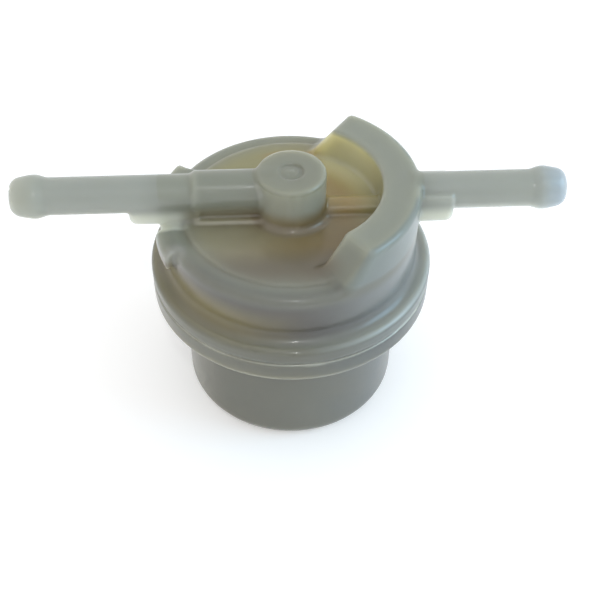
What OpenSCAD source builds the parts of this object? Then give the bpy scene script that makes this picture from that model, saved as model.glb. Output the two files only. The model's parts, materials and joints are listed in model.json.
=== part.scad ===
// In-line fuel filter with a welded translucent case, two opposed hose spigots and a pleated paper element.
// Origin: centre of the flat underside of the bowl. +X runs along the inlet spigot, +Z is up. All sizes in mm.

/* [Case] */
// Outside radius of the upper case wall
case_r = 27.5; // [22:0.1:34]
// Height of the flat top of the upper case
case_top_z = 50; // [42:0.1:60]
// Radius of the rounded outer corner of the upper case
shoulder_r = 2.0; // [0.5:0.1:4]
// Outside radius of the two weld rings
ring_r = 31.2; // [28:0.1:40]
// Upper face of the upper weld ring
ring_top_z = 38.3; // [34:0.1:44]
// Weld line between the upper case and the bowl
weld_z = 34.3; // [30:0.1:40]
// Underside of the lower weld ring
ring_bottom_z = 29.4; // [24:0.1:36]
// Outside radius of the bowl
bowl_r = 24.5; // [20:0.1:30]
// Radius of the rounded lower corner of the bowl
bowl_corner_r = 4.0; // [1:0.1:8]
// Wall thickness of both mouldings
wall = 2.2; // [1.4:0.1:3.5]

/* [Spigots] */
// Distance between the two spigot tips
tip_to_tip = 117.5; // [90:0.5:150]
// Outside radius of a spigot
spigot_r = 4.0; // [3:0.1:6]
// Radius of the bead that holds the hose
bead_r = 4.65; // [3.5:0.05:7]
// Radius of the fuel passage
passage_r = 2.6; // [1.5:0.1:3]
// Height of the outlet spigot axis
outlet_z = 55.3; // [52:0.1:60]
// Height of the inlet spigot axis
inlet_z = 54.1; // [52:0.1:60]
// Outer end of the webs under the spigots, from the case axis
web_end = 34.4; // [30:0.1:45]

/* [Boss and crescent] */
// Radius of the central boss
boss_r = 7.4; // [6:0.1:10]
// Height of the top of the boss
boss_top_z = 60.5; // [55:0.1:70]
// Inside radius of the crescent wall
crescent_in_r = 19.3; // [16:0.1:22]
// Outside radius of the crescent wall
crescent_out_r = 27.5; // [24:0.1:30]
// Height of the top of the crescent wall
crescent_top_z = 58; // [52:0.1:64]
// Outside radius of the opposite rim tab
tab_r = 29.6; // [28:0.1:34]
// Height of the top of the far lug of the rim tab
tab_top_z = 50.1; // [46:0.1:54]

/* [Element] */
// Outer radius of the pleats
pleat_out_r = 19.8; // [12:0.1:22]
// Inner radius of the pleats
pleat_in_r = 10.3; // [6:0.1:14]
// Number of pleats
pleat_count = 36; // [16:1:60]
// Paper thickness
paper_t = 0.55; // [0.2:0.05:1]
// Radius of the end discs
disc_r = 21.2; // [14:0.1:22]

/* [Hidden] */
$fn = 96;
eps = 0.02;
tip_x = tip_to_tip / 2;
case_in_r = case_r - 2.5;
roof_z = case_top_z - wall;
floor_z = wall;
disc_low_z = 4.0;
paper_low_z = 5.8;
paper_high_z = 42.2;
disc_high_z = 43.0;
disc_t = 1.2;
ring_round = 1.2;
fillet_r = 1.5;
step_r = 23.0;
step_h = 0.4;
crescent_turn = 53;
crescent_foot = 7.4;
crescent_lean = 34.2;
tab_low_z = 45;

nylon = [0.76, 0.79, 0.74];
paper_c = [0.78, 0.60, 0.36];
disc_c = [0.88, 0.87, 0.82];
glue_c = [0.82, 0.72, 0.50];
seal_c = [0.10, 0.10, 0.10];

// A quarter-round fillet section, solid in the corner at the origin, with its hollow towards +X +Y.
module corner_fill(r) {
  difference() {
    translate([-eps, -eps]) square([r + eps, r + eps]);
    translate([r, r]) circle(r);
  }
}

// A rectangle section from (x0, y0) to (x1, y1) with its outer upper corner rounded.
module round_top(x0, y0, x1, y1, r) {
  translate([x0, y0]) square([x1 - x0, y1 - y0 - r]);
  translate([x0, y0]) square([x1 - x0 - r, y1 - y0]);
  translate([x1 - r, y1 - r]) circle(r);
}

// A rectangle section with its outer lower corner rounded.
module round_bottom(x0, y0, x1, y1, r) {
  translate([x0, y0 + r]) square([x1 - x0, y1 - y0 - r]);
  translate([x0, y0]) square([x1 - x0 - r, y1 - y0]);
  translate([x1 - r, y0 + r]) circle(r);
}

// Turned outer body of the upper case: weld ring, side wall, shoulder, stepped flat top and central boss.
module case_outer() {
  rotate_extrude() {
    round_top(0, weld_z + 0.4, ring_r, ring_top_z, ring_round);
    translate([0, weld_z]) square([ring_r - 0.5, 1]);
    round_top(0, weld_z + 1, case_r, case_top_z - step_h, shoulder_r);
    polygon([[0, case_top_z - 2], [step_r + step_h, case_top_z - 2], [step_r + step_h, case_top_z - step_h],
             [step_r, case_top_z], [0, case_top_z]]);
    translate([case_r, ring_top_z]) corner_fill(fillet_r);
    round_top(0, case_top_z - 1, boss_r, boss_top_z, 0.5);
    translate([boss_r, case_top_z]) corner_fill(1.8);
  }
}

// One end of the crescent is cut off by a plane that leans back; side is 1 or -1.
module crescent_end_cut(side, inset) {
  mirror([0, side > 0 ? 0 : 1, 0])
    rotate([0, 0, -crescent_turn])
      translate([0, inset - crescent_foot, case_top_z])
        rotate([-crescent_lean, 0, 0])
          translate([-60, -60, -40])
            cube([120, 60, 90]);
}

// Raised crescent wall that closes the cap behind the inlet spigot.
module crescent() {
  difference() {
    rotate_extrude() {
      translate([crescent_in_r, 0])
        round_top(0, case_top_z - 1, crescent_out_r - crescent_in_r, crescent_top_z, 1.1);
      translate([crescent_in_r, case_top_z]) mirror([1, 0]) corner_fill(1.4);
    }
    crescent_end_cut(1, 0);
    crescent_end_cut(-1, 0);
  }
}

// Hollow under the crescent, open to the inside of the case.
module crescent_hollow() {
  difference() {
    rotate_extrude()
      translate([crescent_in_r + 2.1, roof_z - 0.5])
        square([crescent_out_r - crescent_in_r - 4.3, crescent_top_z - roof_z - 1.7]);
    crescent_end_cut(1, 2.6);
    crescent_end_cut(-1, 2.6);
  }
}

// Outlet spigot with its bead, drawn along +X from the case to the tip and turned to -X.
module spigot_solid(inner_x, r) {
  rotate([0, 90, 0]) {
    translate([0, 0, inner_x]) cylinder(r = r, h = tip_x - 7.4 - inner_x);
    translate([0, 0, tip_x - 7.45]) cylinder(r1 = r, r2 = bead_r, h = 1.95);
    translate([0, 0, tip_x - 5.5]) cylinder(r = bead_r, h = 1.2);
    translate([0, 0, tip_x - 4.3]) cylinder(r1 = bead_r, r2 = 4.1, h = 2.9);
    translate([0, 0, tip_x - 1.4]) cylinder(r1 = 4.1, r2 = 3.7, h = 0.7);
    translate([0, 0, tip_x - 0.7]) cylinder(r1 = 3.7, r2 = 3.0, h = 0.7);
  }
}

// Web under a spigot: a straight block with a rounded lower outer end and a chamfered upper one.
module spigot_web(inner_x, half_w, low_z, high_z) {
  r = 1.6;
  translate([0, half_w, 0])
    rotate([90, 0, 0])
      linear_extrude(2 * half_w) {
        translate([inner_x, low_z + r]) square([web_end - inner_x, high_z - low_z - r - 0.9]);
        translate([inner_x, low_z]) square([web_end - inner_x - r, high_z - low_z - 0.9]);
        translate([web_end - r, low_z + r]) circle(r);
        polygon([[inner_x, high_z - 1], [web_end, high_z - 1], [web_end, high_z - 0.9],
                 [web_end - 0.9, high_z], [inner_x, high_z]]);
      }
}

// Everything on the outlet side, drawn towards +X.
module outlet_side() {
  translate([0, 0, outlet_z]) spigot_solid(20.4, spigot_r);
  spigot_web(19.8, 3.4, case_top_z - 0.6, outlet_z + 0.3);
  translate([0, 0, outlet_z + 0.35]) rotate([0, 90, 0]) cylinder(r = 4.4, h = 20.9);
  translate([5, -2.7, case_top_z - 0.5]) cube([15.4, 5.4, 5]);
  translate([5, -4.3, case_top_z - 0.5]) cube([15.8, 8.6, 1.2]);
}

// Everything on the inlet side, drawn towards +X.
module inlet_side() {
  translate([0, 0, inlet_z]) spigot_solid(26.4, spigot_r);
  spigot_web(24.5, 4.6, case_top_z - 0.9, inlet_z + 1.9);
  translate([4, 0, case_top_z - 0.5]) rotate([0, 90, 0]) cylinder(r = 2.85, h = 17);
}

// One arc of the rim tab: its start and turn in degrees, outer radius, lower and upper face, and rounded upper edge.
module tab_arc(start, turn, r, low_z, top_z, edge_r) {
  rotate([0, 0, start])
    rotate_extrude(angle = turn)
      round_top(case_r - 2.2, low_z, r, top_z, edge_r);
}

// Tab on the rim, opposite the crescent: two thick lugs with a thinner bridge behind the outlet web.
module rim_tab() {
  tab_arc(146.8, 23.2, tab_r, tab_low_z, tab_top_z, 0.6);
  tab_arc(168.5, 22.5, 28.3, tab_low_z + 0.6, 49.3, 0.6);
  tab_arc(189.5, 16, tab_r, tab_low_z, 49.4, 1.8);
}

module upper_case() {
  color(nylon)
    difference() {
      union() {
        case_outer();
        crescent();
        rim_tab();
        mirror([1, 0, 0]) outlet_side();
        inlet_side();
      }
      // inside of the case, with a nipple left standing in the middle
      difference() {
        rotate_extrude() round_top(0, weld_z - 1, case_in_r, roof_z, 1.6);
        translate([0, 0, 42]) cylinder(r = 5.4, h = 10);
      }
      crescent_hollow();
      // outlet passage: down the boss and out to the left
      translate([0, 0, 41]) cylinder(r = 2.9, h = outlet_z + 2.8 - 41);
      translate([-tip_x - 1, 0, outlet_z]) rotate([0, 90, 0]) cylinder(r = passage_r, h = tip_x + 1);
      // inlet passage: from the right into the hollow under the crescent
      translate([23, 0, inlet_z]) rotate([0, 90, 0]) cylinder(r = passage_r, h = tip_x - 22);
      // shallow stepped recess on the boss, round the gate mark
      difference() {
        translate([0, 0, boss_top_z - 0.45]) cylinder(r = 2.7, h = 1);
        translate([0, 0, boss_top_z - 0.6]) cylinder(r = 1.7, h = 0.3);
        translate([0, 0, boss_top_z - 0.6]) cylinder(r = 0.6, h = 0.5);
      }
    }
}

module bowl() {
  color(nylon)
    difference() {
      rotate_extrude() {
        round_bottom(0, 0, bowl_r, ring_bottom_z + 1, bowl_corner_r);
        round_bottom(0, ring_bottom_z, ring_r, weld_z - 0.6, 0.9);
        translate([0, weld_z - 1]) square([ring_r - 0.5, 1]);
        translate([bowl_r, ring_bottom_z]) mirror([0, 1]) corner_fill(0.8);
        translate([23.2, weld_z - 1]) square([1.6, 3.6]);
      }
      difference() {
        rotate_extrude() round_bottom(0, floor_z, bowl_r - wall, weld_z + 3, 2.6);
        // four ribs that carry the element
        for (a = [0, 90]) rotate([0, 0, a + 45]) translate([-20, -0.9, 0]) cube([40, 1.8, disc_low_z]);
      }
      // centre of the ribs stays open
      translate([0, 0, floor_z]) cylinder(r = 6, h = 3);
    }
}

module outlet_seal() {
  color(seal_c)
    rotate_extrude() translate([6.2, 45.3]) circle(r = 0.78, $fn = 32);
}

module end_disc_upper() {
  color(disc_c)
    rotate_extrude() {
      translate([7.0, disc_high_z]) square([disc_r - 7.0, disc_t]);
      translate([disc_r - 0.7, disc_high_z - 2.5]) square([0.7, 2.6]);
      translate([7.0, disc_high_z]) square([1.4, 3.6]);
    }
}

module end_disc_lower() {
  color(disc_c)
    rotate_extrude() {
      translate([0, disc_low_z]) square([disc_r, 1.0]);
      translate([disc_r - 0.7, disc_low_z]) square([0.7, 3.5]);
    }
}

module potting_upper() {
  color(glue_c)
    rotate_extrude() translate([8.0, paper_high_z]) square([disc_r - 0.7 - 8.0, disc_high_z - paper_high_z]);
}

module potting_lower() {
  color(glue_c)
    rotate_extrude() translate([8.0, disc_low_z + 1]) square([disc_r - 0.7 - 8.0, paper_low_z - disc_low_z - 1]);
}

// Folded paper: a zigzag ring of constant thickness.
module filter_paper() {
  n = 2 * pleat_count;
  half = paper_t / 2 / sin(180 / n * 3.2);
  outer = [for (i = [0:n - 1]) let (r = (i % 2 == 0) ? pleat_out_r : pleat_in_r + half, a = 360 * i / n)
    [r * cos(a), r * sin(a)]];
  inner = [for (i = [0:n - 1]) let (r = (i % 2 == 0) ? pleat_out_r - half : pleat_in_r, a = 360 * i / n)
    [r * cos(a), r * sin(a)]];
  color(paper_c)
    translate([0, 0, paper_low_z])
      linear_extrude(paper_high_z - paper_low_z)
        difference() {
          polygon(outer);
          polygon(inner);
        }
}

// Perforated tube that holds the pleats open.
module core_tube() {
  color(disc_c)
    translate([0, 0, paper_low_z])
      difference() {
        cylinder(r = 9.6, h = paper_high_z - paper_low_z);
        translate([0, 0, -1]) cylinder(r = 8.4, h = paper_high_z - paper_low_z + 2);
        for (row = [0:5], a = [0, 60, 120])
          rotate([0, 0, a + (row % 2) * 30])
            translate([0, 0, 3.7 + row * 5.8])
              rotate([90, 0, 0])
                translate([0, 0, -12])
                  cylinder(r = 1.6, h = 24, $fn = 32);
      }
}

upper_case();
bowl();
outlet_seal();
end_disc_upper();
potting_upper();
filter_paper();
core_tube();
potting_lower();
end_disc_lower();
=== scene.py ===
# %% [markdown]
# # A welded fuel filter in milky nylon
# The filter is two nylon mouldings welded together round their middle, with a pleated paper element sealed
# inside. This script loads the exact solids as a fixed frame and gives them their looks: soft moulded
# edges, the cloudy depth of nylon, and the tan of the paper that shows faintly through the thin walls.
# Everything is in metres, with +Z up and the bowl standing on z = 0.

# %% Load the frame
import json
import math
from types import SimpleNamespace

import bmesh
import bpy
import numpy as np
from mathutils import Matrix, Vector


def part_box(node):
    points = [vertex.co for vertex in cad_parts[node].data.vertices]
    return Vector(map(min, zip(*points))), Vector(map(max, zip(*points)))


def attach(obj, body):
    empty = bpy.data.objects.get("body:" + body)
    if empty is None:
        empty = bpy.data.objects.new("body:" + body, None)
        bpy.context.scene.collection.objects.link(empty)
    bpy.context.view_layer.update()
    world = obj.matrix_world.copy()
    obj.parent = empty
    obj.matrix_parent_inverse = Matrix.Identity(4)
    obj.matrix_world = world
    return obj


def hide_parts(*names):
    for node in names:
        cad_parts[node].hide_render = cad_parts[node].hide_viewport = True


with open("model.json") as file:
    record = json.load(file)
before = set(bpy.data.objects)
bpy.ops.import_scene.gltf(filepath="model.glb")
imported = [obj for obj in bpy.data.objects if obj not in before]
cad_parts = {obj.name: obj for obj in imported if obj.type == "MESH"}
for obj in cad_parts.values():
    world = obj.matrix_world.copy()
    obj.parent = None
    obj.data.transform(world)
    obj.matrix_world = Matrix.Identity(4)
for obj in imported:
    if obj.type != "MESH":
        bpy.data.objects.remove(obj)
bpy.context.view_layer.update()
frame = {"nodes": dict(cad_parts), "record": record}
MM = 0.001
nodes = frame["nodes"]
case_low, case_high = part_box("upper_case")
_, bowl_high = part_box("bowl")

# %% [markdown]
# ## Forms with moulded edges
# A moulding has no sharp inside corners: every boss, tube and web runs into the next with a small fillet.
# Such a surface could be bevelled edge by edge, but a bevel fails where many edges meet. Here each shape is
# a distance instead, negative inside the plastic. Two distances join or cut through a quarter circle,
# which leaves a fillet or a round of a known radius, however the shapes meet. The skin is then drawn
# where the distance is nothing. Distances are in millimetres.

# %% Joining and cutting distances
def round_join(a, b, r):
    """Both shapes: beside both by less than r, the distance is measured from a circle that touches both."""
    return np.maximum(r, np.minimum(a, b)) - np.hypot(np.maximum(r - a, 0), np.maximum(r - b, 0))


def round_cut(a, b, r):
    """What the two shapes share, with its edge rounded to radius r: the join, turned inside out."""
    return -round_join(-a, -b, r)


def ease(value, low, high):
    """0 below low, 1 above high, and a smooth rise between."""
    t = np.clip((value - low) / (high - low), 0, 1)
    return t * t * (3 - 2 * t)


# %% Sizes of the upper case
def in_mm(metres):
    """A size of the frame in millimetres, to a hundredth."""
    return round(1000 * metres, 2)


CASE_R, CASE_TOP, CASE_IN_R, ROOF = 27.5, 49.6, 25.0, 47.8
RING_R, RING_TOP, WELD = in_mm(bowl_high[0]), 38.3, in_mm(case_low[2])
GROOVE_R, GROOVE_DEPTH = 1.0, 0.14
STEP_R, STEP_TOP = 23.2, 50.0
BOSS_R, BOSS_TOP, BOSS_FILLET = 7.4, 60.42, 1.8
RECESS_R, RECESS_DEPTH = 2.7, 0.45
CRESCENT_R, CRESCENT_TOP, CRESCENT_TURN, CRESCENT_LEAN, CRESCENT_FOOT = 19.3, 58.0, 53.0, 34.2, 7.4
HOLLOW_IN_R, HOLLOW_OUT_R, HOLLOW_TOP, HOLLOW_FOOT = 21.4, 25.3, 55.8, 4.8
TAB_R, TAB_IN_R, TAB_LOW, FAR_LUG_TOP, NEAR_LUG_TOP = 29.6, 24, 45, 50.1, 49.4
BRIDGE_R, BRIDGE_TOP = 28.3, 49.3
SPIGOT_R, BEAD_R, TIP, PASSAGE_R = 4.0, 4.65, in_mm(case_high[0]), 2.6
OUTLET_Z, INLET_Z, WEB_END, COLLAR_END = 55.3, 54.1, 34.4, 20.9
NIPPLE_R, NIPPLE_LOW, RISER_R, RISER_TOP = 5.4, 42, 2.9, 58.1


# %% Turned body and crescent
def crescent_end(x, y, z, side, foot):
    """Distance past a leaning plane that ends the crescent, on the side of +Y or -Y."""
    turn, lean = math.radians(CRESCENT_TURN), math.radians(CRESCENT_LEAN)
    along = x * math.sin(turn) - side * y * math.cos(turn)
    return (z - STEP_TOP) * math.sin(lean) - (along + foot) * math.cos(lean)


def cap_form(x, y, z):
    """The turned case: a top plane with a raised disc, the crescent, a round shoulder and the weld ring."""
    radius = np.hypot(x, y)
    top = round_join(z - CASE_TOP, round_cut(radius - STEP_R, z - STEP_TOP, 0.35), 0.35)
    ends = np.maximum(crescent_end(x, y, z, 1, CRESCENT_FOOT), crescent_end(x, y, z, -1, CRESCENT_FOOT))
    crescent = round_cut(round_cut(CRESCENT_R - radius, z - CRESCENT_TOP, 0.8), ends, 0.7)
    cap = round_join(top, crescent, 1.2)
    cap = round_cut(cap, radius - CASE_R, np.interp(z, [52, 55], [2.0, 1.3]))
    ring = round_cut(radius - RING_R, z - RING_TOP, 1.2)
    cap = np.maximum(round_join(cap, ring, 2.5), WELD - z)
    groove = GROOVE_R - np.hypot(radius - RING_R - GROOVE_R + GROOVE_DEPTH, z - WELD)
    cap = round_cut(cap, groove, 0.5)
    boss = round_cut(radius - BOSS_R, z - BOSS_TOP, 0.8)
    cap = round_join(cap, boss, BOSS_FILLET)
    pip = 0.15 * ease(-radius, -1.9, -1.5) + 0.2 * ease(-radius, -0.8, -0.4)
    recess = round_cut(radius - RECESS_R, BOSS_TOP - RECESS_DEPTH + pip - z, 0.2)
    return round_cut(cap, -recess, 0.25)


def arc_form(x, y, z, first, last, r, top, edge):
    """One arc of the rim tab, between two planes through the axis at angles first and last."""
    radius = np.hypot(x, y)
    before, after = math.radians(first), math.radians(last)
    arc = round_cut(np.maximum(radius - r, TAB_IN_R - radius), z - top, edge)
    arc = round_cut(arc, TAB_LOW - z, 0.4)
    arc = round_cut(arc, x * math.sin(before) - y * math.cos(before), 0.4)
    return round_cut(arc, y * math.cos(after) - x * math.sin(after), 0.4)


def tab_form(x, y, z):
    """The rim tab opposite the crescent: two thick lugs and the thinner bridge between them."""
    far_lug = arc_form(x, y, z, 146.8, 170, TAB_R, FAR_LUG_TOP, 0.6)
    near_lug = arc_form(x, y, z, 189.5, 205.5, TAB_R, NEAR_LUG_TOP, 1.8)
    bridge = arc_form(x, y, z, 168.5, 191, BRIDGE_R, BRIDGE_TOP, 0.6)
    return round_join(np.minimum(far_lug, near_lug), bridge, 0.5)


# %% Spigots and their webs
def spigot_radius(along):
    """Radius of a spigot along its length: plain, up to the bead, and down the nose, with eased corners."""
    places = np.arange(-1.0, TIP + 2, 0.05)
    back_from_tip = [TIP, 7.45, 5.5, 4.3, 1.4, 0.7, 0]
    radii = [SPIGOT_R, SPIGOT_R, BEAD_R, BEAD_R, 4.1, 3.7, 3.0]
    outline = np.interp(places, TIP - np.array(back_from_tip), radii)
    spread = np.exp(-0.5 * (np.arange(-20, 21) * 0.05 / 0.3) ** 2)
    eased = np.convolve(np.pad(outline, 20, "edge"), spread / spread.sum(), "valid")
    return np.interp(along, places, eased)


def spigot_form(along, y, z, axis_z, inner):
    """A round spigot whose radius follows spigot_radius, from its inner end to its blunt tip."""
    tube = np.hypot(y, z - axis_z) - spigot_radius(along)
    return np.maximum(round_cut(tube, along - TIP, 0.5), inner - along)


def web_form(along, y, z, half, low, high, inner):
    """The web under a spigot: a block with a round lower outer corner and a smaller round above it."""
    outline = round_cut(round_cut(along - WEB_END, low - z, 1.7), z - high, 1.0)
    return np.maximum(round_cut(outline, np.abs(y) - half, 0.6), inner - along)


def outlet_form(along, y, z):
    """The outlet side: spigot, web, thicker inner tube, and two narrow blocks that carry it over the cap."""
    spigot = spigot_form(along, y, z, OUTLET_Z, 20.4)
    outlet = round_join(spigot, web_form(along, y, z, 3.4, 49.4, OUTLET_Z + 0.3, 19.8), 0.5)
    tube = round_cut(np.hypot(y, z - OUTLET_Z - 0.35) - 4.4, along - COLLAR_END, 1.0)
    block = round_cut(np.maximum(np.abs(y) - 2.7, z - 55), along - 20.4, 0.5)
    foot = round_cut(round_cut(np.abs(y) - 4.3, z - 50.7, 0.4), along - 20.8, 0.4)
    tube = np.maximum(round_join(round_join(tube, block, 1.5), foot, 1.0), 1.0 - along)
    return round_join(outlet, tube, 0.9)


def inlet_form(along, y, z):
    """The inlet side: spigot, a wider web, and the low ridge that runs over the cap to the boss."""
    spigot = spigot_form(along, y, z, INLET_Z, 26.0)
    inlet = round_join(spigot, web_form(along, y, z, 4.6, 49.1, INLET_Z + 1.9, 24.5), 0.5)
    ridge = np.maximum(np.hypot(y, z - STEP_TOP + 0.5) - 2.85, np.maximum(4 - along, along - 21))
    return round_join(inlet, ridge, 0.3)


# %% Inside of the case
def inside_form(x, y, z):
    """The empty space: the round cavity round a hanging nipple, the hollow crescent, and the two passages."""
    radius = np.hypot(x, y)
    cavity = round_cut(radius - CASE_IN_R, z - ROOF, 1.6)
    cavity = round_cut(cavity, -round_cut(radius - NIPPLE_R, NIPPLE_LOW - z, 0.5), 0.8)
    ends = np.maximum(crescent_end(x, y, z, 1, HOLLOW_FOOT), crescent_end(x, y, z, -1, HOLLOW_FOOT))
    hollow = round_cut(np.maximum(HOLLOW_IN_R - radius, radius - HOLLOW_OUT_R), z - HOLLOW_TOP, 0.6)
    cavity = np.minimum(cavity, round_cut(hollow, ends, 0.6))
    riser = np.maximum(round_cut(radius - RISER_R, z - RISER_TOP, 0.6), NIPPLE_LOW - 1 - z)
    outlet = np.maximum(np.hypot(y, z - OUTLET_Z) - PASSAGE_R, x)
    inlet = np.maximum(np.hypot(y, z - INLET_Z) - PASSAGE_R, 23 - x)
    return np.minimum(np.minimum(cavity, riser), np.minimum(outlet, inlet))


def upper_case_form(x, y, z):
    """The whole upper moulding: the cap with everything that stands on it, less the space inside."""
    body = round_join(cap_form(x, y, z), tab_form(x, y, z), 0.9)
    body = round_join(body, outlet_form(-x, y, z), 0.8)
    body = round_join(body, inlet_form(x, y, z), 0.8)
    return round_cut(body, -inside_form(x, y, z), 0.3)


# %% [markdown]
# ## Drawing the skin of a form
# The form is measured at the points of a grid. Every grid cell that the skin passes through gets one
# vertex, every grid edge that crosses it gets one face, and three short steps down the slope of the
# distance put the vertices on the skin. The grid is finer round the boss and the beads than along plain
# tube.

# %% Grid and skin
def spaced(*stretches):
    """Grid lines with their own spacing in each stretch: stretches are (start, end, spacing), end to end."""
    lines = [np.linspace(a, b, max(1, round((b - a) / step)), endpoint=False) for a, b, step in stretches]
    return np.concatenate(lines + [[stretches[-1][1]]])


def skin(name, form, xs, ys, zs):
    """A closed mesh, in metres, where form(x, y, z) = 0, from a grid with those lines.
    A vertex p steps down the slope: p - form(p) * slope / |slope|^2."""
    values = form(xs[:, None, None], ys[None, :, None], zs[None, None, :])
    solid = values < 0
    sizes = [len(xs) - 1, len(ys) - 1, len(zs) - 1]
    corners = [(i, j, k) for i in (0, 1) for j in (0, 1) for k in (0, 1)]
    count = sum(solid[i:sizes[0] + i, j:sizes[1] + j, k:sizes[2] + k].astype(np.int8) for i, j, k in corners)
    cells = np.argwhere((count > 0) & (count < 8))
    number = np.full(sizes, -1)
    number[tuple(cells.T)] = np.arange(len(cells))
    axes = (xs, ys, zs)
    total = np.zeros((len(cells), 3))
    crossings = np.zeros(len(cells))
    for a in corners:
        for axis in range(3):
            if a[axis]:
                continue
            b = tuple(1 if n == axis else a[n] for n in range(3))
            va = values[tuple((cells + a).T)]
            vb = values[tuple((cells + b).T)]
            crosses = (va < 0) != (vb < 0)
            part = np.where(crosses, va / np.where(crosses, va - vb, 1), 0)
            pa = np.stack([axes[n][cells[:, n] + a[n]] for n in range(3)], 1)
            pb = np.stack([axes[n][cells[:, n] + b[n]] for n in range(3)], 1)
            total += np.where(crosses[:, None], pa + part[:, None] * (pb - pa), 0)
            crossings += crosses
    points = total / crossings[:, None]
    nudge = 0.01
    for _ in range(3):
        here = form(*points.T)
        slope = np.stack([form(*(points + nudge * np.eye(3)[n]).T) - here for n in range(3)], 1) / nudge
        steps = here[:, None] * slope / np.maximum((slope ** 2).sum(1), 0.2)[:, None]
        points = points - np.clip(steps, -0.2, 0.2)
    faces = []
    for axis in range(3):
        p, q = (axis + 1) % 3, (axis + 2) % 3
        inner = tuple(slice(None) if n == axis else slice(1, -1) for n in range(3))
        ahead = tuple(slice(1, None) if n == axis else slice(None) for n in range(3))
        behind = tuple(slice(None, -1) if n == axis else slice(None) for n in range(3))
        crosses = (solid[ahead] != solid[behind])[inner]
        edges = np.argwhere(crosses)
        edges[:, p] += 1
        edges[:, q] += 1
        step_p, step_q = np.eye(3, dtype=int)[p], np.eye(3, dtype=int)[q]
        around = (step_p + step_q, step_q, 0 * step_p, step_p)
        ring = np.stack([number[tuple((edges - d).T)] for d in around], 1)
        outward = solid[behind][inner][crosses]
        faces.append(np.where(outward[:, None], ring, ring[:, ::-1]))
    return grid_mesh(name, points * MM, np.concatenate(faces))


def grid_mesh(name, points, faces):
    """A smooth-shaded object from arrays of points in metres and of faces with four corners each."""
    mesh = bpy.data.meshes.new(name)
    mesh.vertices.add(len(points))
    mesh.vertices.foreach_set("co", points.astype(np.float32).ravel())
    mesh.loops.add(faces.size)
    mesh.loops.foreach_set("vertex_index", faces.astype(np.int32).ravel())
    mesh.polygons.add(len(faces))
    mesh.polygons.foreach_set("loop_start", np.arange(0, faces.size, 4, dtype=np.int32))
    mesh.update(calc_edges=True)
    mesh.validate()
    mesh.polygons.foreach_set("use_smooth", np.ones(len(mesh.polygons), dtype=bool))
    piece = bpy.data.objects.new(name, mesh)
    bpy.context.collection.objects.link(piece)
    print(f"{name}: {len(mesh.vertices)} vertices, {2 * len(mesh.polygons)} triangles")
    return piece


# %% Upper case
BEAD_STEP, TUBE_STEP, CASE_STEP, BOSS_STEP = 0.48, 1.2, 0.54, 0.36
along_x = spaced(
    (-59.6, -50, BEAD_STEP), (-50, -36, TUBE_STEP), (-36, -8.5, CASE_STEP), (-8.5, 8.5, BOSS_STEP),
    (8.5, 36, CASE_STEP), (36, 50, TUBE_STEP), (50, 59.6, BEAD_STEP))
along_y = spaced((-32, -8.5, CASE_STEP), (-8.5, 8.5, 0.38), (8.5, 32, CASE_STEP))
along_z = spaced((33.9, 51, 0.44), (51, 61, 0.46))
upper_case = skin("upper_case_moulding", upper_case_form, along_x, along_y, along_z)
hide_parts("upper_case")
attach(upper_case, "root")

# %% [markdown]
# ## Turned bowl
# The bowl is a plain turned shape, so one outline carried round the axis makes it. The corners of the
# outline are rounded as the mould rounds them. Four ribs inside carry the element: the floor is simply
# lifted along two crossed lines.

# %% Turning an outline
def rounded_outline(corners, spacing):
    """Points about spacing apart along a line through corners (r, z, radius), with an arc at each corner.
    An arc of radius R in a corner of half-angle h touches its sides R / tan h from the corner."""
    corner = np.array(corners, float)
    points = [corner[:1, :2]]
    for before, here, after in zip(corner, corner[1:], corner[2:]):
        back, ahead = before[:2] - here[:2], after[:2] - here[:2]
        back, ahead = back / np.linalg.norm(back), ahead / np.linalg.norm(ahead)
        half = math.acos(np.clip(back @ ahead, -1, 1)) / 2
        reach = here[2] / math.tan(half)
        t = np.linspace(-1, 1, 9)[:, None] * (math.pi / 2 - half)
        middle = (back + ahead) / np.linalg.norm(back + ahead)
        across = (ahead - back) / np.linalg.norm(ahead - back)
        centre = here[:2] + middle * here[2] / math.sin(half)
        points.append(centre - here[2] * (middle * np.cos(t) - across * np.sin(t)))
    points.append(corner[-1:, :2])
    line = np.concatenate(points)
    length = np.r_[0, np.cumsum(np.hypot(*np.diff(line, axis=0).T))]
    extra = np.arange(0, length[-1], spacing)
    keep = np.unique(np.round(np.r_[length, extra], 4))
    keep = keep[np.r_[True, np.diff(keep) > 0.02]]
    return np.stack([np.interp(keep, length, line[:, n]) for n in (0, 1)], 1)


def turned(name, outline, turns, lift=None):
    """An outline in (r, z) carried round Z: x = r cos a, y = r sin a, with z lifted by lift(x, y, z)."""
    angle = np.arange(turns) * 2 * math.pi / turns
    x = outline[None, :, 0] * np.cos(angle)[:, None]
    y = outline[None, :, 0] * np.sin(angle)[:, None]
    z = np.broadcast_to(outline[None, :, 1], x.shape)
    if lift:
        z = z + lift(x, y, z)
    rows, columns = x.shape
    here = np.arange(rows)[:, None] * columns + np.arange(columns - 1)[None, :]
    beside = (np.arange(rows)[:, None] + 1) % rows * columns + np.arange(columns - 1)[None, :]
    faces = np.stack([here, beside, beside + 1, here + 1], -1).reshape(-1, 4)
    piece = grid_mesh(name, np.stack([x, y, z], -1).reshape(-1, 3) * MM, faces)
    shape = bmesh.new()
    shape.from_mesh(piece.data)
    bmesh.ops.remove_doubles(shape, verts=shape.verts, dist=1e-7)
    shape.to_mesh(piece.data)
    shape.free()
    return piece


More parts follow.
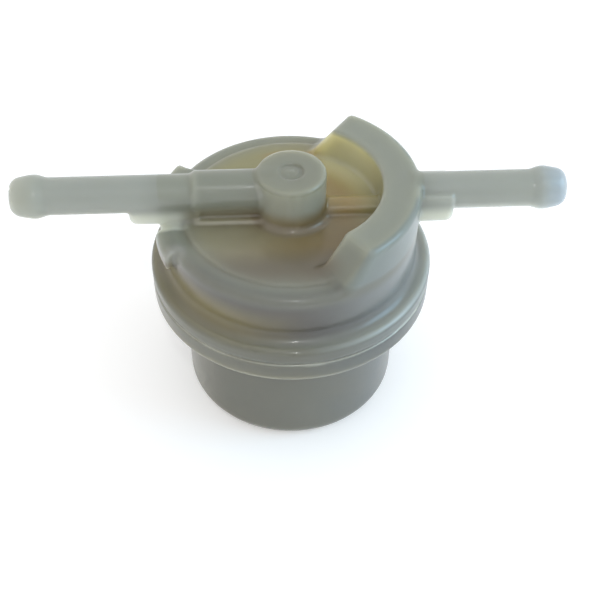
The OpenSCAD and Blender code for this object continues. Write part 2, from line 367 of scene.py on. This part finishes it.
def rib_lift(x, y, z):
    """Raises the inner floor to the disc's seat along two crossed lines, but not mid-floor or at the wall."""
    radius = np.hypot(x, y)
    off_line = np.minimum(np.abs(x - y), np.abs(x + y)) / math.sqrt(2)
    on_rib = ease(-off_line, -1.1, -0.7) * ease(radius, 6.0, 6.5) * ease(-radius, -20.4, -19.8)
    return np.where((z > 1.5) & (z < 3.0), 1.8 * on_rib, 0)


BOWL_R, BOWL_CORNER_R, RING_LOW, WALL = 24.5, 4.0, 29.4, 2.2
LIP_R, LIP_IN_R, LIP_TOP = 24.8, 23.2, in_mm(bowl_high[2])
bowl_outline = rounded_outline([
    (0, 0, 0), (BOWL_R, 0, BOWL_CORNER_R), (BOWL_R, RING_LOW, 0.9),
    (RING_R, RING_LOW, 0.9), (RING_R, WELD - 0.6, 0.8), (RING_R - GROOVE_DEPTH, WELD, 0.05),
    (LIP_R, WELD, 0.1), (LIP_R, LIP_TOP, 0.3), (LIP_IN_R, LIP_TOP, 0.3), (LIP_IN_R, WELD, 0.1),
    (BOWL_R - WALL, WELD, 0.1), (BOWL_R - WALL, WALL, 2.6), (0, WALL, 0)], 0.9)
bowl = turned("bowl_moulding", bowl_outline, 288, rib_lift)
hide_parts("bowl")
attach(bowl, "root")

# %% [markdown]
# ## Writing shaders as sums
# A shader is a graph, but most of it is arithmetic on values that change over the surface. A small class
# that wraps one socket lets Python's own operators add the Math nodes, so a mask reads as a formula. One
# method adds every other kind of node.

# %% Shader maths
class Shade:
    """One socket of a material's node tree; arithmetic on it adds Math nodes."""

    def __init__(self, tree, socket):
        self.tree = tree
        self.socket = socket

    def node(self, kind, inputs, out=0, **settings):
        """Adds a node of that type, sets its settings, then its sockets from values or links."""
        made = self.tree.nodes.new(kind)
        for name, value in settings.items():
            setattr(made, name, value)
        for name, value in inputs.items():
            if isinstance(value, Shade):
                self.tree.links.new(value.socket, made.inputs[name])
            else:
                made.inputs[name].default_value = value
        return Shade(self.tree, made.outputs[out])

    def maths(self, operation, *values):
        return self.node("ShaderNodeMath", dict(enumerate(values)), operation=operation)

    def __add__(self, other): return self.maths("ADD", self, other)
    def __radd__(self, other): return self.maths("ADD", other, self)
    def __sub__(self, other): return self.maths("SUBTRACT", self, other)
    def __rsub__(self, other): return self.maths("SUBTRACT", other, self)
    def __mul__(self, other): return self.maths("MULTIPLY", self, other)
    def __rmul__(self, other): return self.maths("MULTIPLY", other, self)
    def __pow__(self, other): return self.maths("POWER", self, other)

    def step(self, low, high):
        """0 below low, 1 above high, and a smooth rise between; low may be the greater for a fall."""
        inputs = {"Value": self, "From Min": low, "From Max": high}
        return self.node("ShaderNodeMapRange", inputs, interpolation_type="SMOOTHSTEP")

    def noise(self, scale, detail=2.0, roughness=0.5):
        """Cloudy noise over a position, from 0 to 1, at that many waves a metre."""
        inputs = {"Vector": self, "Scale": scale, "Detail": detail, "Roughness": roughness}
        return self.node("ShaderNodeTexNoise", inputs)

    def tint(self, base, colour):
        """A mix from a base colour to another, by this mask; a colour is three numbers or a Shade."""
        base, colour = (c if isinstance(c, Shade) else (*c, 1) for c in (base, colour))
        return self.node("ShaderNodeMix", {0: self, 6: base, 7: colour}, out=2, data_type="RGBA")


def start(name):
    """A new material: its Principled shader, and the Object position as a Shade."""
    material = bpy.data.materials.new(name)
    material.use_nodes = True
    tree = material.node_tree
    place = Shade(tree, tree.nodes.new("ShaderNodeTexCoord").outputs["Object"])
    return material, tree.nodes["Principled BSDF"], place


def wire(surface, **inputs):
    """Puts values or links into the Principled shader; an underscore in a name stands for a space."""
    for name, value in inputs.items():
        socket = surface.inputs[name.replace("_", " ")]
        if isinstance(value, Shade):
            value.tree.links.new(value.socket, socket)
        else:
            socket.default_value = value


# %% [markdown]
# ## Milky nylon
# Unfilled nylon lets light in and scatters it, so its edges glow and a thick lump looks paler than a thin
# wall over something dark. Volume scattering would be exact but slow. Subsurface scattering on the closed
# walls gives the same softness. Tones laid over the colour do two other jobs: the tan and brown ones stand
# for paper behind a thin wall, though some carry painted shade or painted glow as well, and the bluish,
# grey and pale ones are painted light and painted shade, standing for light that this plain stage doesn't
# give. The second kind was set for the front view, and the bowl looks dark from behind.
# Each tone has a mask made from the place on the filter, so it follows the shape.

# %% Tones of the nylon
# Painted light and shade below: the web foot, tip, boss side, crescent side and glow, shoulder, lug end,
# wall, ring, crease, weld and bowl side tones, and the cap front, back, amber and fillet tones.
THICK_NYLON, CLEAR_NYLON = (0.205, 0.216, 0.176), (0.295, 0.312, 0.275)
WEB_FOOT_PAINTED_LIGHT, TIP_PAINTED_COOL_LIGHT = (0.500, 0.520, 0.450), (0.275, 0.325, 0.365)
BOSS_SIDE_PAINTED_LIGHT, BOSS_TONE = (0.295, 0.305, 0.255), (0.205, 0.212, 0.165)
CRESCENT_TONE, CRESCENT_SIDE_PAINTED_SHADE = (0.236, 0.250, 0.204), (0.165, 0.190, 0.178)
CRESCENT_PAINTED_GLOW_YELLOW, CRESCENT_PAINTED_GLOW_OLIVE = (0.600, 0.570, 0.340), (0.270, 0.250, 0.125)
SHOULDER_PAINTED_SHADE, LUG_END_PAINTED_LIGHT = (0.140, 0.143, 0.122), (0.225, 0.230, 0.205)
WALL_GREY_PAINTED_SHADE, WALL_RIGHT_PAINTED_LIGHT, WALL_TAN = (0.092, 0.087, 0.078), (0.185, 0.202, 0.198), (0.200, 0.172, 0.085)
RING_OLIVE, RING_RIGHT_PAINTED_LIGHT, RING_TOP_PAINTED_SKYLIGHT = (0.112, 0.114, 0.090), (0.128, 0.146, 0.142), (0.290, 0.320, 0.310)
RING_LOW_RIGHT_PAINTED_SHADE, CREASE_PAINTED_LIGHT, WELD_BURR_AND_PAINTED_LIGHT = (0.075, 0.086, 0.083), (0.245, 0.252, 0.220), (0.420, 0.430, 0.370)
BOWL_GREY, BOWL_RIGHT_PAINTED_COOL_LIGHT, BOWL_LEFT_PAINTED_SHADE = (0.130, 0.134, 0.110), (0.104, 0.118, 0.118), (0.088, 0.092, 0.072)
CAP_TAN, CAP_BROWN, CAP_FRONT_PAINTED_SHADE = (0.255, 0.235, 0.155), (0.200, 0.150, 0.066), (0.152, 0.130, 0.090)
CAP_BACK_PAINTED_LIGHT, CAP_AMBER_AND_PAINTED_GLOW, FILLET_TAN_PAINTED_SHADE = (0.270, 0.248, 0.120), (0.300, 0.220, 0.082), (0.215, 0.178, 0.110)


def measures(place):
    """A place in millimetres, its distances from the axis and from the YZ plane, and masks of the sides."""
    x, y, z = (place.node("ShaderNodeSeparateXYZ", {"Vector": place}, out=i) * 1000.0 for i in range(3))
    cloud = place.noise(90.0, 3.0)
    drift = (cloud - 0.5) * 8.0
    return SimpleNamespace(
        x=x, y=y, z=z, radius=(x * x + y * y) ** 0.5, out=(x * x) ** 0.5, cloud=cloud, drift=drift,
        left=(x * -0.98 - y * 0.2 + drift).step(0.0, 24.0),
        right=(x * 0.93 - y * 0.2 + drift).step(6.0, 27.0),
        front=(y * -1.0 + drift).step(4.0, 18.0))


def lay(colour, *layers):
    """Lays tones over a colour in turn; each layer is a mask and a tone."""
    for mask, tone in layers:
        colour = mask.tint(colour, tone)
    return colour


# %% Tones above the shoulder
def web_and_boss_tones(at, colour):
    """Painted light: pale feet of the webs where shade falls under the tubes, a bluish inlet tip in painted
    cool light, and a boss side painted paler than its top.
    """
    # Painted light on the web feet, the inlet tip and the side of the boss.
    web_foot = at.out.step(20.5, 24.5) * at.z.step(54.0, 51.0) * (at.y * at.y).step(36.0, 24.0)
    boss = at.radius.step(8.6, 7.9)
    return lay(
        colour, (web_foot, WEB_FOOT_PAINTED_LIGHT), (at.x.step(50.0, 58.0), TIP_PAINTED_COOL_LIGHT),
        (boss * at.z.step(60.0, 59.0), BOSS_SIDE_PAINTED_LIGHT), (boss * at.z.step(59.0, 60.0), BOSS_TONE))


def crescent_tones(at, colour):
    """A lighter tone on the top of the crescent, painted shade on the shoulder in front, and painted cool
    shade on the crescent's outer side, strongest on the right.
    """
    outside = at.radius.step(28.3, 27.8)
    top = at.radius.step(19.0, 20.5) * outside * at.z.step(55.5, 57.6)
    # Painted shade: the shoulder darker towards the front.
    shoulder = at.radius.step(23.5, 26.0) * at.z.step(50.8, 49.9) * at.front
    # Painted shade: the outer side darker and bluer towards the right and front.
    side = at.radius.step(25.8, 27.0) * at.radius.step(28.8, 27.8) * at.z.step(49.0, 51.0)
    side = side * (at.y * at.y).step(24.0, 60.0) * (at.right + at.front * 0.5)
    return lay(colour, (top, CRESCENT_TONE), (shoulder, SHOULDER_PAINTED_SHADE), (side, CRESCENT_SIDE_PAINTED_SHADE))


def roof_tones(at, colour):
    """The thin roof over the paper, tan and brownest towards the front right from the paper behind it, with
    painted shade greying the front, painted light paling the back, and painted shade on the fillet round
    the foot of the boss.
    """
    roof = (at.radius + at.drift * 0.4).step(26.0, 19.0) * (at.z + at.drift * 0.12).step(55.5, 51.0)
    brown = (at.x * 0.85 - at.y * 0.45 + at.drift).step(-12.0, 12.0)
    tan = brown.tint(CAP_TAN, CAP_BROWN)
    # Painted shade: the roof greyer and darker towards the front.
    tan = (at.y * -1.0 + at.drift * 0.5).step(11.0, 18.0).tint(tan, CAP_FRONT_PAINTED_SHADE)
    # Painted light: the roof paler towards the back.
    tan = (at.y + at.drift * 0.5).step(4.0, 12.0).tint(tan, CAP_BACK_PAINTED_LIGHT)
    # Painted shade: the fillet round the foot of the boss darkened, in the tan of the paper.
    fillet = at.radius.step(9.8, 9.0) * at.radius.step(7.3, 7.6) * at.z.step(52.0, 51.2)
    return lay(colour, (roof, tan), (fillet, FILLET_TAN_PAINTED_SHADE))


def bend_tones(at, colour):
    """Inside the bend of the crescent: an amber roof, partly the paper behind it and partly painted glow, and
    a painted glow on the concave face, standing for light that comes through from behind.
    """
    bend = (at.x + at.y * 0.5 + at.drift * 0.5).step(1.0, 9.0)
    bend = bend * (at.y + at.x * 0.15 + at.drift * 0.5).step(-7.0, 3.0)
    # Partly paper tan and partly painted glow: the amber roof in the bend.
    amber = bend * at.z.step(54.5, 51.8) * at.radius.step(20.5, 19.0)
    # Painted glow: the concave face coloured as if lit through from behind.
    glow = at.y.step(-2.0, 13.0).tint(CRESCENT_PAINTED_GLOW_OLIVE, CRESCENT_PAINTED_GLOW_YELLOW)
    face = at.radius.step(20.2, 19.5) * at.radius.step(11.0, 19.0) * at.z.step(58.0, 56.4)
    face = face * at.x.step(4.0, 9.0) * at.y.step(-9.0, -3.0)
    return lay(colour, (amber, CAP_AMBER_AND_PAINTED_GLOW), (face, glow))


# %% Tones of the side
def wall_tones(at, colour):
    """The thin side wall, grey with painted shade and with painted cool light on the right, and painted light
    on the end of the near lug where shade falls.
    """
    # Painted light: the end of the near lug made paler where shade falls.
    lug_end = ((at.x + 24.8) ** 2 + (at.y + 12.0) ** 2 + (at.z - 48.6) ** 2) ** 0.5
    # Painted shade on the grey wall, and painted cool light on its right side.
    wall = at.right.tint(WALL_GREY_PAINTED_SHADE, WALL_RIGHT_PAINTED_LIGHT)
    return lay(colour, (at.z.step(49.0, 46.0), wall), (lug_end.step(3.4, 1.6), LUG_END_PAINTED_LIGHT))


def ring_tones(at, colour):
    """The weld rings, with painted light on the right and on the right of the ring top, and painted shade low
    on the right; painted light in the corner between ring and wall, where shade falls; broken pale streaks
    along the weld, partly a burr from welding and partly a painted highlight; and a pale band of painted
    light along the weld groove.
    """
    ring = at.radius.step(28.0, 30.0) * at.z.step(39.5, 38.0)
    # Painted light: the corner between ring and wall, where shade falls, made paler.
    crease = at.radius.step(27.3, 28.6) * at.radius.step(31.0, 29.6)
    crease = crease * at.z.step(41.5, 38.8) * at.z.step(37.0, 37.8)
    rim = at.radius.step(30.4, 30.8)
    # Partly a real burr and partly a painted highlight, stronger on the right and front.
    broken = at.cloud.step(0.46, 0.62) * (at.right * 0.6 + at.front * 0.3) + 0.1
    flash_and_highlight = at.z.step(33.5, 34.1) * at.z.step(35.1, 34.5) * rim * broken
    # Painted light: a pale band along the groove of the weld.
    weld = rim * at.z.step(34.0, 34.2) * at.z.step(34.6, 34.4) * 0.45
    # Painted light on the right of the rings and of their top, and painted shade low on the right.
    return lay(
        colour, (ring, at.right.tint(RING_OLIVE, RING_RIGHT_PAINTED_LIGHT)),
        (ring * at.right * at.z.step(37.4, 38.0), RING_TOP_PAINTED_SKYLIGHT),
        (crease * 0.6, CREASE_PAINTED_LIGHT), (flash_and_highlight, WELD_BURR_AND_PAINTED_LIGHT),
        (ring * at.right * at.z.step(34.3, 33.6), RING_LOW_RIGHT_PAINTED_SHADE), (weld, WELD_BURR_AND_PAINTED_LIGHT))


def bowl_tones(at, colour):
    """The bowl, greyest at the front, with painted cool light on the right and painted shade on the left, and
    the tan of the paper low on the left of the side wall.
    """
    # Painted light and shade: the bowl's right and left are lit and shaded copies of its grey.
    bowl = at.left.tint(at.right.tint(BOWL_GREY, BOWL_RIGHT_PAINTED_COOL_LIGHT), BOWL_LEFT_PAINTED_SHADE)
    band = at.z.step(37.5, 39.5) * at.z.step(48.0, 41.5) + at.z.step(39.5, 38.5) * 0.1
    return lay(colour, (at.z.step(29.8, 29.0), bowl), (at.left * band, WALL_TAN))


# %% Nylon
def nylon(name):
    """Milky nylon with a soft gloss: a clear colour with the tones of each region laid over it, many of them
    painted light and painted shade.
    """
    material, surface, place = start(name)
    at = measures(place)
    colour = at.out.step(22.0, 33.0).tint(THICK_NYLON, CLEAR_NYLON)
    above = (web_and_boss_tones, crescent_tones)
    side = (wall_tones, ring_tones, bowl_tones)
    for tones in (*above, *side, roof_tones, bend_tones):
        colour = tones(at, colour)
    grain = place.noise(900.0, 3.0)
    relief = {"Strength": 0.12, "Distance": 0.1 * MM, "Height": grain + at.cloud}
    bump = place.node("ShaderNodeBump", relief)
    wire(surface, Base_Color=colour, Roughness=0.25 + 0.10 * at.cloud + 0.06 * grain, Normal=bump)
    wire(surface, Coat_Weight=0.3, Coat_Roughness=0.07, IOR=1.5)
    wire(surface, Subsurface_Weight=1.0, Subsurface_Radius=(1.0, 0.95, 0.8), Subsurface_Scale=9 * MM)
    return material


for piece in (upper_case, bowl):
    piece.data.materials.append(nylon("nylon_" + piece.name))

# %% [markdown]
# ## The element inside
# The exact solids already have the right shapes inside the case, so they only need finishes. Each one is a
# base colour broken up by noise of its own scale, with a little of the same noise in the roughness and
# the height of the surface.

# %% Finishes of the inner pieces
def plain_finish(name, dark, light, scale, rough, spread, depth, stretch=1.0):
    """Two colours mixed by noise; roughness = rough + spread * noise; stretch scales the noise along Z."""
    material, surface, place = start(name)
    squeezed = place.node("ShaderNodeVectorMath", {0: place, 1: (1, 1, stretch)}, operation="MULTIPLY")
    speckle = squeezed.noise(scale, 4.0, 0.6)
    bump = place.node("ShaderNodeBump", {"Strength": 0.4, "Distance": depth * MM, "Height": speckle})
    colour = speckle.step(0.3, 0.7).tint(dark, light)
    wire(surface, Base_Color=colour, Roughness=rough + speckle * spread, Normal=bump)
    return material


BLACK, GREY_BLACK = (0.018, 0.018, 0.018), (0.035, 0.035, 0.034)
IVORY, PALE_IVORY = (0.60, 0.58, 0.49), (0.68, 0.66, 0.57)
HONEY, PALE_HONEY = (0.36, 0.24, 0.07), (0.48, 0.34, 0.12)
PAPER, PALE_PAPER = (0.42, 0.23, 0.05), (0.56, 0.34, 0.10)
FINISHES = {
    "seal_rubber": plain_finish("seal_rubber", BLACK, GREY_BLACK, 1500, 0.55, 0.25, 0.05),
    "disc_plastic": plain_finish("disc_plastic", IVORY, PALE_IVORY, 400, 0.35, 0.15, 0.04),
    "potting": plain_finish("potting", HONEY, PALE_HONEY, 250, 0.25, 0.2, 0.15),
    "filter_paper": plain_finish("filter_paper", PAPER, PALE_PAPER, 1200, 0.8, 0.15, 0.08, 0.3)}
for part in frame["record"]["subparts"]:
    if part["material_slot"] in FINISHES:
        mesh = nodes[part["node"]].data
        mesh.materials.clear()
        mesh.materials.append(FINISHES[part["material_slot"]])
        print(part["node"], "is finished as", part["material_slot"])

# %% [markdown]
# ## Floor, light and camera
# A plain pale floor and an even sky keep the milky colour readable. A small light in front draws the fine
# gloss lines on the tube and the ridge, and a large bluish one cools the right-hand side. The camera looks
# down on the cap from the front, a little from the left, through a short telephoto lens.

# %% Floor
REACH = 6.0
floor_corners = [(-REACH, -REACH, 0), (REACH, -REACH, 0), (REACH, REACH, 0), (-REACH, REACH, 0)]
floor_mesh = bpy.data.meshes.new("floor")
floor_mesh.from_pydata(floor_corners, [], [(0, 1, 2, 3)])
floor = bpy.data.objects.new("floor", floor_mesh)
bpy.context.collection.objects.link(floor)
floor_paint, surface, place = start("floor_paint")
wire(surface, Base_Color=(0.88, 0.88, 0.88, 1), Roughness=0.9)
wire(surface, Emission_Color=(1, 1, 1, 1), Emission_Strength=0.22)
floor_mesh.materials.append(floor_paint)

# %% Lights
world = bpy.data.worlds.new("studio")
bpy.context.scene.world = world
world.use_nodes = True
wire(world.node_tree.nodes["Background"], Color=(1.0, 1.0, 1.0, 1), Strength=0.97)


def softbox(name, size, distance, elevation, azimuth, watts, colour=(1, 1, 1)):
    """A square light that faces the filter; azimuth is in degrees from -Y towards +X."""
    lamp = bpy.data.lights.new(name, "AREA")
    lamp.size = size
    lamp.energy = watts
    lamp.color = colour
    up, turn = math.radians(elevation), math.radians(azimuth)
    away = Vector((math.sin(turn) * math.cos(up), -math.cos(turn) * math.cos(up), math.sin(up)))
    box = bpy.data.objects.new(name, lamp)
    box.location = Vector((0, 0, 0.04)) + away * distance
    box.rotation_euler = away.to_track_quat("Z", "Y").to_euler()
    bpy.context.collection.objects.link(box)


softbox("window", 0.04, 0.8, 55, 2, 0.55)
softbox("side_window", 0.5, 0.9, 30, 80, 3.0, (0.40, 0.74, 1.0))

# %% Camera
VIEW_TARGET = Vector((2.207, 0.0, 21.144)) * MM
VIEW_ELEVATION = 46.548
VIEW_AZIMUTH = -3.779
VIEW_ROLL = 0.884
VIEW_DISTANCE = 237.047 * MM

lens = bpy.data.cameras.new("camera")
lens.sensor_width = 36.0
lens.lens = 60.0
lens.clip_start = 0.005
camera = bpy.data.objects.new("camera", lens)
bpy.context.collection.objects.link(camera)
up, turn, roll = (math.radians(a) for a in (VIEW_ELEVATION, VIEW_AZIMUTH, VIEW_ROLL))
back = Vector((math.sin(turn) * math.cos(up), -math.cos(turn) * math.cos(up), math.sin(up)))
side = Vector((0, 0, 1)).cross(back).normalized()
top = back.cross(side)
right_axis = math.cos(roll) * side + math.sin(roll) * top
up_axis = math.cos(roll) * top - math.sin(roll) * side
facing = Matrix((right_axis, up_axis, back)).transposed().to_4x4()
camera.matrix_world = Matrix.Translation(VIEW_TARGET + VIEW_DISTANCE * back) @ facing
bpy.context.scene.camera = camera
bpy.context.scene.view_settings.view_transform = "Standard"
